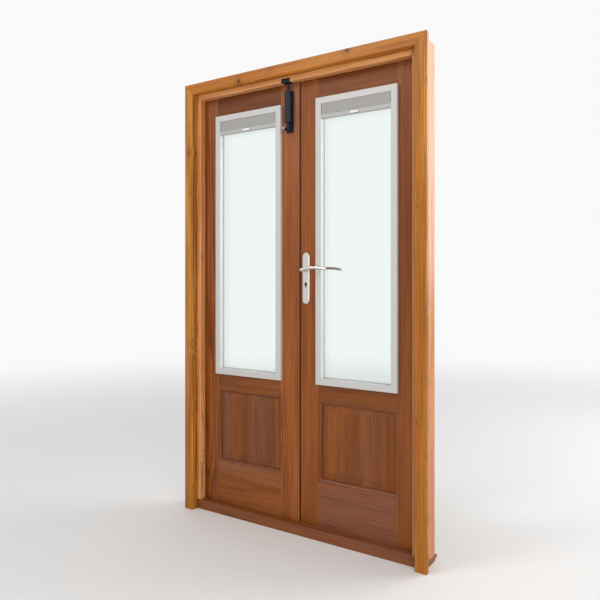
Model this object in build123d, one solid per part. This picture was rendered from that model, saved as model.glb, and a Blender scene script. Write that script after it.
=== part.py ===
from build123d import *
import math
import os

# A pair of part-glazed timber doors with their frame, lining and architrave.
# Millimetres. X runs to the right as seen from the room, Y from the room to the
# open air, Z up. The origin is on the underside of the sill, at the middle of
# the doorway and of the frame's depth.

# Doorway, measured between the stops and under the head's stop
CLEAR_WIDTH = 1092.0
CLEAR_HEIGHT = 1982.0
FRAME_THICKNESS = 40.0
STOP_WIDTH = 17.0
STOP_DEPTH = 34.0
STOP_TO_LEAF = 5.0
STOP_ROUND = 3.0

# Trim on the room side
FRAME_FACE = 22.0
LINING_DEPTH = 13.0
LINING_THICKNESS = 20.0
ARCHITRAVE_WIDTH = 51.0
ARCHITRAVE_THICKNESS = 20.0
ARCHITRAVE_ARRIS = 7.0
ARCHITRAVE_OUTER_ROUND = 4.0

# Sill
SILL_UPSTAND = 45.0
SILL_TOP_INNER = 28.0
SILL_TOP_OUTER = 20.0
SILL_NOSE = 25.0
SILL_NOSE_UNDERCUT = 8.0
SILL_ROUND = 4.0

# Leaves
LEAF_THICKNESS = 54.0
LEAF_COVER = 12.0
LEAF_TO_SILL = 5.0
MEETING_GAP = 9.0
MEETING_OFFSET = 4.5
HINGE_STILE_WIDTH = 92.5
LEFT_MEETING_STILE_WIDTH = 99.0
RIGHT_MEETING_STILE_WIDTH = 90.0
TOP_RAIL_HEIGHT = 106.5
MID_RAIL_TOP = 666.5
MID_RAIL_HEIGHT = 81.5
BOTTOM_RAIL_HEIGHT = 205.0

# Rebate that takes the glass and the panel from outside
LIP_THICKNESS = 14.0
REBATE_WIDTH = 15.0
REBATE_CLEARANCE = 3.0

# Sealed glass unit
PANE_THICKNESS = 4.0
UNIT_THICKNESS = 24.0
SPACER_WIDTH = 15.0
BEAD_CHAMFER = 8.0

# Raised and fielded panel
MOULDING_WIDTH = 12.0
MOULDING_SET_BACK = 2.0
PANEL_BEVEL_WIDTH = 32.0
PANEL_BEVEL_RISE = 6.0
PANEL_FIELD_STEP = 2.0

# Clip-in blind frame and raised blind
BLIND_FRAME_WIDTH = 28.0
BLIND_FRAME_OVERLAP = 7.5
BLIND_FRAME_PROUD = 15.0
BLIND_FRAME_ROUND = 2.5
BLIND_FRAME_FIT = 0.5
BLIND_STACK_HEIGHT = 46.0
BLIND_PLEATS = 9
BLIND_BAR_HEIGHT = 18.0
BLIND_DEPTH = 18.0
BLIND_SIDE_CLEARANCE = 2.0
BLIND_TAB_WIDTH = 36.0
BLIND_TAB_HEIGHT = 9.0
BLIND_TAB_PROUD = 6.0

# Hinges
HINGE_HEIGHT = 100.0
HINGE_FROM_TOP = 220.0
HINGE_FROM_BOTTOM = 200.0
HINGE_LEAF_DEPTH = 34.0
HINGE_LEAF_THICKNESS = 2.0
HINGE_AXIS_PROUD = 8.0
KNUCKLE_RADIUS = 6.5
PIN_RADIUS = 3.5
PIN_CLEARANCE = 0.1
KNUCKLE_GAP = 0.5

# Lever handle, plates and lock
HANDLE_FROM_EDGE = 29.5
LEVER_HEIGHT = 1155.0
PLATE_WIDTH = 34.0
PLATE_HEIGHT = 225.0
PLATE_DROP = 37.0
PLATE_THICKNESS = 8.0
PLATE_CHAMFER = 1.5
SPINDLE_SIDE = 8.0
SPINDLE_HOLE_RADIUS = 6.5
LEVER_STANDOFF = 44.0
LEVER_LENGTH = 125.0
LEVER_BOW = 8.0
LEVER_HEEL = 8.0
LEVER_GRIP_HEIGHT = 15.0
LEVER_GRIP_THICKNESS = 11.0
LEVER_TIP_HEIGHT = 12.0
LEVER_TIP_THICKNESS = 9.0
LEVER_STATIONS = 8
LEVER_SIDES = 16
LEVER_NECK_RADIUS = 7.0
LEVER_CLEARANCE = 0.5
LOCK_CENTRES = 63.0
CYLINDER_RADIUS = 7.0
CYLINDER_TAIL = 13.0
CYLINDER_SET_BACK = 1.0
CYLINDER_FIT = 0.2
FACEPLATE_WIDTH = 24.0
FACEPLATE_HEIGHT = 235.0
FACEPLATE_THICKNESS = 3.0

# Surface bolt on the left leaf, and its keep in the head's stop
BOLT_FROM_EDGE = 48.0
BOLT_TOP_BELOW_HEAD = 32.0
BOLT_PLATE_HEIGHT = 184.0
BOLT_PLATE_WIDTH = 38.0
BOLT_PLATE_THICKNESS = 3.0
BOLT_STANDOFF = 17.0
BOLT_RADIUS = 6.5
BOLT_FIT = 0.4
BOLT_WALL = 3.0
BOLT_CASING_WIDTH = 33.0
BOLT_CASING_HEIGHT = 138.0
BOLT_TIP_BELOW_HEAD = 7.0
BOLT_KNOB_RADIUS = 8.0
BOLT_KNOB_LENGTH = 10.0
BOLT_KNOB_REACH = 38.0
BOLT_KNOB_ABOVE_FOOT = 9.0
BOLT_STEM_RADIUS = 4.5
BOLT_CHAMFER = 1.5
KEEP_WIDTH = 46.0
KEEP_CLEARANCE = 2.5

# Planes that everything is set from
FRAME_DEPTH = STOP_DEPTH + STOP_TO_LEAF + LEAF_THICKNESS
Y_OUT = FRAME_DEPTH / 2
Y_ROOM = -FRAME_DEPTH / 2
Y_STOP = Y_ROOM + STOP_DEPTH
Y_LEAF_IN = Y_OUT - LEAF_THICKNESS
Y_LINING = Y_ROOM - LINING_DEPTH
Y_ARCHITRAVE = Y_LINING - ARCHITRAVE_THICKNESS
Y_POCKET = Y_LEAF_IN + LIP_THICKNESS
Y_UNIT_OUT = Y_POCKET + UNIT_THICKNESS
Y_BLIND_FRONT = Y_LEAF_IN - BLIND_FRAME_PROUD
X_CLEAR = CLEAR_WIDTH / 2
X_REBATE = X_CLEAR + STOP_WIDTH
X_FRAME = X_REBATE + FRAME_THICKNESS
X_LINING = X_CLEAR + FRAME_FACE
X_LEAF = X_CLEAR + LEAF_COVER
Z_REBATE = CLEAR_HEIGHT + STOP_WIDTH
Z_FRAME = Z_REBATE + FRAME_THICKNESS
Z_LINING = CLEAR_HEIGHT + FRAME_FACE
Z_LEAF_TOP = CLEAR_HEIGHT + LEAF_COVER
Z_LEAF_BOTTOM = SILL_TOP_INNER + LEAF_TO_SILL
Z_GLASS_TOP = Z_LEAF_TOP - TOP_RAIL_HEIGHT
Z_PANEL_TOP = MID_RAIL_TOP - MID_RAIL_HEIGHT
Z_PANEL_BOTTOM = Z_LEAF_BOTTOM + BOTTOM_RAIL_HEIGHT
X_HINGE = (X_REBATE + X_LEAF) / 2
Y_HINGE = Y_OUT + HINGE_AXIS_PROUD
Z_TOP_HINGE = Z_LEAF_TOP - HINGE_FROM_TOP
Z_LOW_HINGE = Z_LEAF_BOTTOM + HINGE_FROM_BOTTOM
HINGE_CENTRES = (Z_LOW_HINGE, (Z_LOW_HINGE + Z_TOP_HINGE) / 2, Z_TOP_HINGE)
X_LEFT_EDGE = MEETING_OFFSET - MEETING_GAP / 2
X_RIGHT_EDGE = MEETING_OFFSET + MEETING_GAP / 2
X_BOLT = X_LEFT_EDGE - BOLT_FROM_EDGE
Y_BOLT = Y_LEAF_IN - BOLT_STANDOFF
Z_BOLT_TOP = CLEAR_HEIGHT - BOLT_TOP_BELOW_HEAD
Z_BOLT_BOTTOM = Z_BOLT_TOP - BOLT_PLATE_HEIGHT
X_HANDLE = X_RIGHT_EDGE + HANDLE_FROM_EDGE
Z_PLATE_MIDDLE = LEVER_HEIGHT - PLATE_DROP
Z_CYLINDER = LEVER_HEIGHT - LOCK_CENTRES


def block(x0, x1, y0, y1, z0, z1):
    """A box between two planes each way."""
    middle = ((x0 + x1) / 2, (y0 + y1) / 2, (z0 + z1) / 2)
    return Pos(*middle) * Box(abs(x1 - x0), abs(y1 - y0), abs(z1 - z0))


def rod(x, y, z0, z1, radius):
    """An upright cylinder."""
    return Pos(x, y, (z0 + z1) / 2) * Cylinder(radius, z1 - z0)


def cross_rod(x, z, y0, y1, radius):
    """A cylinder along Y."""
    return Pos(x, (y0 + y1) / 2, z) * Rot(90, 0, 0) * Cylinder(radius, abs(y1 - y0))


def profile(points):
    """A face in the XY plane from its corners."""
    return make_face(Polyline(*points, close=True).edges())


def ring(x0, x1, z0, z1, points):
    """A mitred frame round a rectangle. Its section is given at the left side,
    as distances inward from the rectangle's edge and places along Y."""
    middle = (z0 + z1) / 2
    path = Polyline(
        (x0, 0, middle), (x0, 0, z1), (x1, 0, z1), (x1, 0, z0), (x0, 0, z0), close=True
    )
    section = Pos(x0, 0, middle) * profile(points)
    return sweep(section, path=path, transition=Transition.RIGHT)


def rounded_front(solid, y, radius):
    """Rounds the edges that lie in the plane Y = y."""
    edges = solid.edges().filter_by(lambda e: abs(e.center().Y - y) < 0.01)
    edges = edges.filter_by(lambda e: e.bounding_box().size.Y < 0.01)
    return fillet(edges, radius)


# Fixed frame


def make_sill():
    inner, nose = Y_ROOM, Y_OUT + SILL_NOSE
    outline = [
        (inner, 0), (Y_OUT, 0), (Y_OUT + SILL_NOSE_UNDERCUT, SILL_NOSE_UNDERCUT),
        (nose, SILL_NOSE_UNDERCUT), (nose, SILL_TOP_OUTER),
        (Y_STOP, SILL_TOP_INNER), (Y_STOP, SILL_UPSTAND), (inner, SILL_UPSTAND),
    ]
    face = Plane.YZ * profile(outline)
    solid = Pos(-X_FRAME, 0, 0) * extrude(face, amount=2 * X_FRAME)
    rounded = solid.edges().filter_by(Axis.X).filter_by(
        lambda e: e.center().Y > nose - 0.01
        or (abs(e.center().Y - Y_STOP) < 0.01 and e.center().Z > SILL_UPSTAND - 0.01)
    )
    return fillet(rounded, SILL_ROUND)


def make_jamb(side, sill):
    """Upright of the frame, cut over the sill."""
    return block(side * X_REBATE, side * X_FRAME, Y_ROOM, Y_OUT, 0, Z_FRAME) - sill


def make_head():
    return block(-X_REBATE, X_REBATE, Y_ROOM, Y_OUT, Z_REBATE, Z_FRAME)


def make_side_stop(side, sill):
    """Stop planted on the jamb, with its shown arris rounded."""
    stop = block(side * X_CLEAR, side * X_REBATE, Y_ROOM, Y_STOP, 0, Z_REBATE)
    room_edges = stop.edges().filter_by(Axis.Z).filter_by(lambda e: e.center().Y < Y_ROOM + 0.01)
    return fillet(room_edges.sort_by(lambda e: side * e.center().X)[0], STOP_ROUND) - sill


def head_stop_bar(x0, x1):
    """A length of the head's stop, with its shown arris rounded."""
    bar = block(x0, x1, Y_ROOM, Y_STOP, CLEAR_HEIGHT, Z_REBATE)
    arris = bar.edges().filter_by(Axis.X).sort_by(lambda e: e.center().Y + e.center().Z)[0]
    return fillet(arris, STOP_ROUND)


def make_head_stop():
    """The stop on either side of the bolt's keep."""
    return (
        head_stop_bar(-X_CLEAR, X_BOLT - KEEP_WIDTH / 2),
        head_stop_bar(X_BOLT + KEEP_WIDTH / 2, X_CLEAR),
    )


def make_keep():
    """Metal length of the head's stop, with the hole that the bolt enters."""
    keep = head_stop_bar(X_BOLT - KEEP_WIDTH / 2, X_BOLT + KEEP_WIDTH / 2)
    return keep - rod(X_BOLT, Y_BOLT, CLEAR_HEIGHT, Z_REBATE, BOLT_RADIUS + KEEP_CLEARANCE)


def make_side_lining(side):
    return block(
        side * X_LINING, side * (X_LINING + LINING_THICKNESS), Y_LINING, Y_ROOM, 0, Z_LINING
    )


def make_head_lining():
    reach = X_LINING + LINING_THICKNESS
    return block(-reach, reach, Y_LINING, Y_ROOM, Z_LINING, Z_LINING + LINING_THICKNESS)


def make_architraves():
    """Three boards of one moulded section, mitred at the two top corners."""
    section = profile([
        (0, Y_LINING), (0, Y_ARCHITRAVE), (-ARCHITRAVE_WIDTH, Y_ARCHITRAVE),
        (-ARCHITRAVE_WIDTH, Y_LINING),
    ])
    section = fillet(section.vertices().sort_by(lambda v: v.X - v.Y)[-1], ARCHITRAVE_ARRIS)
    section = fillet(section.vertices().sort_by(lambda v: v.X + v.Y)[0], ARCHITRAVE_OUTER_ROUND)
    path = Polyline(
        (-X_LINING, 0, 0), (-X_LINING, 0, Z_LINING), (X_LINING, 0, Z_LINING), (X_LINING, 0, 0)
    )
    whole = sweep(Pos(-X_LINING, 0, 0) * section, path=path, transition=Transition.RIGHT)
    left_mitre = Plane(origin=(-X_LINING, 0, Z_LINING), z_dir=(1, 0, 1))
    right_mitre = Plane(origin=(X_LINING, 0, Z_LINING), z_dir=(-1, 0, 1))
    below_left = split(whole, bisect_by=left_mitre, keep=Keep.BOTTOM)
    below_right = split(whole, bisect_by=right_mitre, keep=Keep.BOTTOM)
    above_left = split(whole, bisect_by=left_mitre, keep=Keep.TOP)
    head = split(above_left, bisect_by=right_mitre, keep=Keep.TOP)
    return below_left.solids().sort_by(Axis.X)[0], below_right.solids().sort_by(Axis.X)[-1], head


# Hinges: the frame's leaf has the two end knuckles and the pin, the door's leaf the middle one

def hinge_knuckle(side, z0, z1, x_leaf):
    """A knuckle with the neck that joins it to its hinge leaf."""
    barrel = rod(side * X_HINGE, Y_HINGE, z0, z1, KNUCKLE_RADIUS)
    neck = block(
        side * x_leaf, side * (x_leaf + HINGE_LEAF_THICKNESS), Y_OUT - HINGE_LEAF_DEPTH, Y_HINGE,
        z0, z1,
    )
    return barrel + neck


def make_frame_hinges(side):
    hinges = []
    third = HINGE_HEIGHT / 3
    for centre in HINGE_CENTRES:
        bottom, top = centre - HINGE_HEIGHT / 2, centre + HINGE_HEIGHT / 2
        x_leaf = X_REBATE - HINGE_LEAF_THICKNESS
        leaf = block(
            side * x_leaf, side * X_REBATE, Y_OUT - HINGE_LEAF_DEPTH, Y_OUT, bottom, top
        )
        lower = hinge_knuckle(side, bottom, bottom + third, x_leaf)
        upper = hinge_knuckle(side, top - third, top, x_leaf)
        pin = rod(side * X_HINGE, Y_HINGE, bottom, top, PIN_RADIUS)
        hinges.append(leaf + lower + upper + pin)
    return hinges


def make_leaf_hinges(side):
    hinges = []
    third = HINGE_HEIGHT / 3
    for centre in HINGE_CENTRES:
        bottom, top = centre - HINGE_HEIGHT / 2, centre + HINGE_HEIGHT / 2
        leaf = block(
            side * X_LEAF, side * (X_LEAF + HINGE_LEAF_THICKNESS), Y_OUT - HINGE_LEAF_DEPTH, Y_OUT,
            bottom, top,
        )
        middle = hinge_knuckle(
            side, bottom + third + KNUCKLE_GAP, top - third - KNUCKLE_GAP, X_LEAF
        )
        bore = rod(side * X_HINGE, Y_HINGE, bottom, top, PIN_RADIUS + PIN_CLEARANCE)
        hinges.append(leaf + middle - bore)
    return hinges


# One leaf, between its hinge edge and its meeting edge

def make_stile(x_edge, x_aperture):
    """Full-height upright, rebated from outside along its inner edge."""
    away = math.copysign(REBATE_WIDTH, x_edge - x_aperture)
    lip = block(x_edge, x_aperture, Y_LEAF_IN, Y_POCKET, Z_LEAF_BOTTOM, Z_LEAF_TOP)
    back = block(x_edge, x_aperture + away, Y_POCKET, Y_OUT, Z_LEAF_BOTTOM, Z_LEAF_TOP)
    return lip + back


def make_rail(x0, x1, z0, z1, rebate_below, rebate_above):
    """Cross rail with its rebates, and shoulders that fill the stiles' rebates."""
    lip = block(x0, x1, Y_LEAF_IN, Y_POCKET, z0, z1)
    back = block(
        x0 - REBATE_WIDTH, x1 + REBATE_WIDTH, Y_POCKET, Y_OUT,
        z0 + REBATE_WIDTH * rebate_below, z1 - REBATE_WIDTH * rebate_above,
    )
    return lip + back


def make_panes(x0, x1, z0, z1):
    grow = REBATE_WIDTH - REBATE_CLEARANCE
    size = (x0 - grow, x1 + grow)
    inner = block(*size, Y_POCKET, Y_POCKET + PANE_THICKNESS, z0 - grow, z1 + grow)
    outer = block(*size, Y_UNIT_OUT - PANE_THICKNESS, Y_UNIT_OUT, z0 - grow, z1 + grow)
    return inner, outer


def make_spacer(x0, x1, z0, z1):
    grow = REBATE_WIDTH - REBATE_CLEARANCE
    y0, y1 = Y_POCKET + PANE_THICKNESS, Y_UNIT_OUT - PANE_THICKNESS
    section = [(0, y0), (SPACER_WIDTH, y0), (SPACER_WIDTH, y1), (0, y1)]
    return ring(x0 - grow, x1 + grow, z0 - grow, z1 + grow, section)


def make_outer_beads(x0, x1, z0, z1):
    """Beads with a weathered face, pressed against the glass or the panel."""
    section = [
        (0, Y_UNIT_OUT), (REBATE_WIDTH, Y_UNIT_OUT), (REBATE_WIDTH, Y_OUT - BEAD_CHAMFER),
        (REBATE_WIDTH - BEAD_CHAMFER, Y_OUT), (0, Y_OUT),
    ]
    return ring(
        x0 - REBATE_WIDTH, x1 + REBATE_WIDTH, z0 - REBATE_WIDTH, z1 + REBATE_WIDTH, section
    )


def make_panel_moulding(x0, x1, z0, z1):
    """Ovolo in the corner between the panel and the edge of the stiles and rails."""
    front = Y_LEAF_IN + MOULDING_SET_BACK
    bottom = Line((0, front), (0, Y_POCKET)) + Line((0, Y_POCKET), (MOULDING_WIDTH, Y_POCKET))
    curve = ThreePointArc(
        (MOULDING_WIDTH, Y_POCKET),
        (MOULDING_WIDTH * math.sin(math.pi / 4) * 1.05, front + (Y_POCKET - front) * 0.3),
        (0, front),
    )
    face = make_face((bottom + curve).edges())
    middle = (z0 + z1) / 2
    path = Polyline(
        (x0, 0, middle), (x0, 0, z1), (x1, 0, z1), (x1, 0, z0), (x0, 0, z0), close=True
    )
    return sweep(Pos(x0, 0, middle) * face, path=path, transition=Transition.RIGHT)


def panel_face(x0, x1, z0, z1, y_base, direction):
    """The sloping border and the raised field on one side of the panel."""
    centre = ((x0 + x1) / 2, (z0 + z1) / 2)
    wide, high = x1 - x0, z1 - z0
    slope = loft([
        Plane.XZ.offset(-y_base) * Pos(*centre) * Rectangle(wide, high),
        Plane.XZ.offset(-(y_base + direction * PANEL_BEVEL_RISE)) * Pos(*centre)
        * Rectangle(wide - 2 * PANEL_BEVEL_WIDTH, high - 2 * PANEL_BEVEL_WIDTH),
    ], ruled=True)
    field = block(
        x0 + PANEL_BEVEL_WIDTH, x1 - PANEL_BEVEL_WIDTH,
        y_base + direction * PANEL_BEVEL_RISE,
        y_base + direction * (PANEL_BEVEL_RISE + PANEL_FIELD_STEP),
        z0 + PANEL_BEVEL_WIDTH, z1 - PANEL_BEVEL_WIDTH,
    )
    return slope + field


def make_panel(x0, x1, z0, z1):
    grow = REBATE_WIDTH - REBATE_CLEARANCE
    slab = block(x0 - grow, x1 + grow, Y_POCKET, Y_UNIT_OUT, z0 - grow, z1 + grow)
    inset = MOULDING_WIDTH
    inner = panel_face(x0 + inset, x1 - inset, z0 + inset, z1 - inset, Y_POCKET, -1)
    outer = panel_face(x0 + inset, x1 - inset, z0 + inset, z1 - inset, Y_UNIT_OUT, 1)
    return slab + inner + outer


def blind_frame_edges(x0, x1, z0, z1):
    """Outside of the blind frame on the leaf's face."""
    lap = BLIND_FRAME_OVERLAP
    return x0 - lap, x1 + lap, z0 - lap, z1 + lap


def make_blind_frame(x0, x1, z0, z1):
    """Flat band over the edge of the glass opening, with a return that reaches the glass."""
    inside = BLIND_FRAME_OVERLAP + BLIND_FRAME_FIT
    section = [
        (0, Y_BLIND_FRONT), (BLIND_FRAME_WIDTH, Y_BLIND_FRONT), (BLIND_FRAME_WIDTH, Y_POCKET),
        (inside, Y_POCKET), (inside, Y_LEAF_IN), (0, Y_LEAF_IN),
    ]
    frame = ring(*blind_frame_edges(x0, x1, z0, z1), section)
    return rounded_front(frame, Y_BLIND_FRONT, BLIND_FRAME_ROUND)


def blind_box(x0, x1, z0, z1):
    """Space inside the blind frame: left, right and top."""
    left, right, _, top = blind_frame_edges(x0, x1, z0, z1)
    return left + BLIND_FRAME_WIDTH, right - BLIND_FRAME_WIDTH, top - BLIND_FRAME_WIDTH


def make_blind_stack(x0, x1, z0, z1):
    """Pleats gathered under the head of the blind frame."""
    left, right, top = blind_box(x0, x1, z0, z1)
    front = Y_BLIND_FRONT + BLIND_FRAME_ROUND
    pitch = BLIND_STACK_HEIGHT / BLIND_PLEATS
    fold = pitch * 0.45
    points = [(front + BLIND_DEPTH, top), (front + BLIND_DEPTH, top - BLIND_STACK_HEIGHT)]
    for pleat in range(BLIND_PLEATS):
        low = top - BLIND_STACK_HEIGHT + pleat * pitch
        points += [(front + fold, low), (front, low + pitch / 2)]
    points.append((front + fold, top))
    face = Plane.YZ * profile(points)
    start = left + BLIND_SIDE_CLEARANCE
    length = right - left - 2 * BLIND_SIDE_CLEARANCE
    return Pos(start, 0, 0) * extrude(face, amount=length)


def make_blind_bar(x0, x1, z0, z1):
    """Bottom bar of the raised blind, with the grip that lowers it."""
    left, right, top = blind_box(x0, x1, z0, z1)
    z_top = top - BLIND_STACK_HEIGHT
    z_bottom = z_top - BLIND_BAR_HEIGHT
    front = Y_BLIND_FRONT + BLIND_FRAME_ROUND
    bar = block(left, right, front, front + BLIND_DEPTH, z_bottom, z_top)
    bar = fillet(bar.edges().filter_by(Axis.X), BLIND_FRAME_ROUND)
    centre = (left + right) / 2
    tab = block(
        centre - BLIND_TAB_WIDTH / 2, centre + BLIND_TAB_WIDTH / 2,
        front - BLIND_TAB_PROUD, front + BLIND_FRAME_ROUND * 2,
        z_bottom + BLIND_FRAME_ROUND, z_bottom + BLIND_FRAME_ROUND + BLIND_TAB_HEIGHT,
    )
    return bar + tab


def make_leaf(name, x_hinge_edge, x_meeting_edge, meeting_stile_width):
    """All the pieces of one leaf, by node name."""
    side = math.copysign(1, x_hinge_edge)
    x_hinge_aperture = x_hinge_edge - side * HINGE_STILE_WIDTH
    x_meeting_aperture = x_meeting_edge + side * meeting_stile_width
    x0, x1 = sorted((x_hinge_aperture, x_meeting_aperture))
    glass = (x0, x1, MID_RAIL_TOP, Z_GLASS_TOP)
    panel = (x0, x1, Z_PANEL_BOTTOM, Z_PANEL_TOP)
    return {
        f"{name}_hinge_stile": [make_stile(x_hinge_edge, x_hinge_aperture)],
        f"{name}_meeting_stile": [make_stile(x_meeting_edge, x_meeting_aperture)],
        f"{name}_top_rail": [make_rail(x0, x1, Z_GLASS_TOP, Z_LEAF_TOP, 1, 0)],
        f"{name}_mid_rail": [make_rail(x0, x1, Z_PANEL_TOP, MID_RAIL_TOP, 1, 1)],
        f"{name}_bottom_rail": [make_rail(x0, x1, Z_LEAF_BOTTOM, Z_PANEL_BOTTOM, 0, 1)],
        f"{name}_panel": [make_panel(*panel)],
        f"{name}_panel_beads": [make_panel_moulding(*panel), make_outer_beads(*panel)],
        f"{name}_glass": list(make_panes(*glass)),
        f"{name}_glass_spacer": [make_spacer(*glass)],
        f"{name}_glazing_beads": [make_outer_beads(*glass)],
        f"{name}_blind_frame": [make_blind_frame(*glass)],
        f"{name}_blind_stack": [make_blind_stack(*glass)],
        f"{name}_blind_bar": [make_blind_bar(*glass)],
        f"{name}_leaf_hinges": make_leaf_hinges(side),
    }


# Lock, plates and lever on the right leaf

def make_lock_cylinder(fit=0, set_back=CYLINDER_SET_BACK):
    """Keyhole cylinder that runs through the leaf, just short of both plates' faces.
    With a fit and a set back below zero it is the hole that it sits in, open at both plates."""
    y0 = Y_LEAF_IN - PLATE_THICKNESS + set_back
    y1 = Y_OUT + PLATE_THICKNESS - set_back
    barrel = cross_rod(X_HANDLE, Z_CYLINDER, y0, y1, CYLINDER_RADIUS + fit)
    half = CYLINDER_RADIUS * 0.55 + fit
    tail = block(
        X_HANDLE - half, X_HANDLE + half, y0, y1, Z_CYLINDER - CYLINDER_TAIL - fit, Z_CYLINDER,
    )
    return barrel + tail


def make_handle_plate(y_face, outward, keyhole):
    """Rounded backplate with the lever's bearing hole and the cylinder's hole."""
    y_front = y_face + outward * PLATE_THICKNESS
    outline = Plane.XZ.offset(-y_face) * Pos(X_HANDLE, Z_PLATE_MIDDLE)
    outline = outline * SlotOverall(PLATE_HEIGHT, PLATE_WIDTH, rotation=90)
    plate = extrude(outline, amount=-outward * PLATE_THICKNESS)
    rim = plate.edges().filter_by(lambda e: e.bounding_box().size.Y < 0.01)
    plate = chamfer(rim.filter_by(lambda e: abs(e.center().Y - y_front) < 0.01), PLATE_CHAMFER)
    hole = cross_rod(X_HANDLE, LEVER_HEIGHT, y_face, y_front, SPINDLE_HOLE_RADIUS)
    return plate - hole - keyhole


def make_lever(y_face, outward):
    """Neck and an arched grip that starts at a short heel and thins towards its tip."""
    y_front = y_face + outward * (PLATE_THICKNESS + LEVER_CLEARANCE)
    y_grip = y_face + outward * LEVER_STANDOFF
    neck = cross_rod(X_HANDLE, LEVER_HEIGHT, y_front, y_grip, LEVER_NECK_RADIUS)
    sections = []
    for station in range(LEVER_STATIONS + 1):
        share = station / LEVER_STATIONS
        reach = (LEVER_LENGTH + LEVER_HEEL) * share - LEVER_HEEL
        z = LEVER_HEIGHT + LEVER_BOW * math.sin(math.pi * reach / LEVER_LENGTH)
        height = LEVER_GRIP_HEIGHT + (LEVER_TIP_HEIGHT - LEVER_GRIP_HEIGHT) * share
        thickness = LEVER_GRIP_THICKNESS + (LEVER_TIP_THICKNESS - LEVER_GRIP_THICKNESS) * share
        place = Plane(
            origin=(X_HANDLE + reach, y_grip, z), z_dir=(1, 0, 0), x_dir=(0, 0, 1),
        )
        turns = [2 * math.pi * side / LEVER_SIDES for side in range(LEVER_SIDES)]
        oval = [(height / 2 * math.cos(a), thickness / 2 * math.sin(a)) for a in turns]
        sections.append(place * profile(oval))
    return neck + loft(sections, ruled=True)


def make_spindle():
    reach = PLATE_THICKNESS + LEVER_CLEARANCE
    return block(
        X_HANDLE - SPINDLE_SIDE / 2, X_HANDLE + SPINDLE_SIDE / 2,
        Y_LEAF_IN - reach, Y_OUT + reach,
        LEVER_HEIGHT - SPINDLE_SIDE / 2, LEVER_HEIGHT + SPINDLE_SIDE / 2,
    )


def faceplate(x_edge, inward):
    y_middle = (Y_LEAF_IN + Y_OUT) / 2
    return block(
        x_edge, x_edge + inward * FACEPLATE_THICKNESS,
        y_middle - FACEPLATE_WIDTH / 2, y_middle + FACEPLATE_WIDTH / 2,
        Z_PLATE_MIDDLE - FACEPLATE_HEIGHT / 2, Z_PLATE_MIDDLE + FACEPLATE_HEIGHT / 2,
    )


# Surface bolt on the left leaf

def make_bolt_casing():
    """Plate with the rounded housing that the shaft slides in."""
    y_plate = Y_LEAF_IN - BOLT_PLATE_THICKNESS
    y_front = Y_BOLT - BOLT_RADIUS - BOLT_WALL
    plate = block(
        X_BOLT - BOLT_PLATE_WIDTH / 2, X_BOLT + BOLT_PLATE_WIDTH / 2, y_plate, Y_LEAF_IN,
        Z_BOLT_BOTTOM, Z_BOLT_TOP,
    )
    plate = fillet(plate.edges().filter_by(Axis.Y), BOLT_PLATE_THICKNESS)
    z_top = Z_BOLT_TOP - BOLT_WALL
    casing = block(
        X_BOLT - BOLT_CASING_WIDTH / 2, X_BOLT + BOLT_CASING_WIDTH / 2, y_front, y_plate,
        z_top - BOLT_CASING_HEIGHT, z_top,
    )
    front = casing.edges().filter_by(Axis.Z).filter_by(lambda e: e.center().Y < y_front + 0.01)
    casing = fillet(front, BOLT_CASING_WIDTH / 4)
    bore = rod(X_BOLT, Y_BOLT, Z_BOLT_BOTTOM, Z_BOLT_TOP, BOLT_RADIUS + BOLT_FIT)
    return plate + casing - bore


def make_bolt_shaft():
    """Drawn back at rest, with its tip just under the keep."""
    foot = Z_BOLT_BOTTOM + BOLT_PLATE_THICKNESS
    shaft = rod(X_BOLT, Y_BOLT, foot, CLEAR_HEIGHT - BOLT_TIP_BELOW_HEAD, BOLT_RADIUS)
    shaft = chamfer(shaft.faces().sort_by(Axis.Z)[-1].edges(), BOLT_CHAMFER)
    z_knob = Z_BOLT_BOTTOM + BOLT_KNOB_ABOVE_FOOT
    y_end = Y_BOLT - BOLT_KNOB_REACH
    stem = cross_rod(X_BOLT, z_knob, Y_BOLT, y_end + BOLT_KNOB_LENGTH, BOLT_STEM_RADIUS)
    knob = cross_rod(X_BOLT, z_knob, y_end + BOLT_KNOB_LENGTH, y_end, BOLT_KNOB_RADIUS)
    rims = knob.edges().filter_by(lambda e: e.bounding_box().size.Y < 0.01)
    return shaft + stem + chamfer(rims, BOLT_CHAMFER)


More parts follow.
